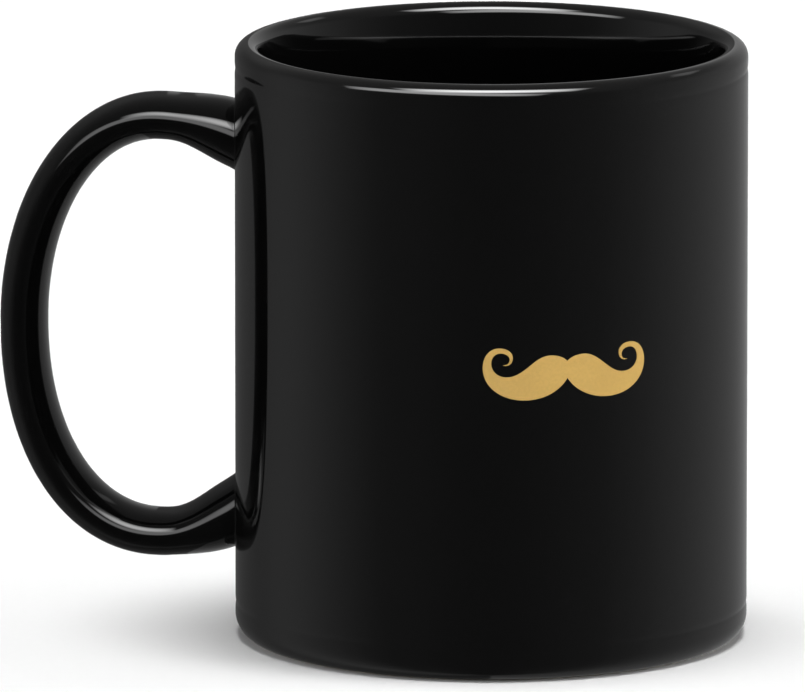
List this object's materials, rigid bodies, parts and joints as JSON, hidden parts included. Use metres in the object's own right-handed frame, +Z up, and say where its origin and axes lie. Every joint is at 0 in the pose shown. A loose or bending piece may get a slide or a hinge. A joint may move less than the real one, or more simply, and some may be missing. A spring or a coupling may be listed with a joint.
{
  "type": "mug",
  "caption": "Straight-sided ceramic mug with a loop handle, a glossy black glaze inside and out, and a gold moustache printed on the wall.",
  "frame": {"origin": "on the cup's axis, in the plane of the foot ring that stands on the table", "axes": "+Z up along the cup's axis, -X towards the handle, -Y towards the side that the moustache is nearest to"},
  "size_m": [0.1212, 0.0824, 0.0965],
  "materials": {
    "stoneware": "bare fired clay, matte",
    "slip": "bare fired slip, matte",
    "black_glaze": "glossy black glaze",
    "gold_print": "gold-coloured print, satin"
  },
  "bodies": {
    "root": {"cup_body": "stoneware", "handle_core": "stoneware", "upper_slip_joint": "slip", "lower_slip_joint": "slip", "outer_glaze": "black_glaze", "inner_glaze": "black_glaze", "recess_glaze": "black_glaze", "handle_glaze": "black_glaze", "moustache_print": "gold_print"}
  },
  "joints": []
}
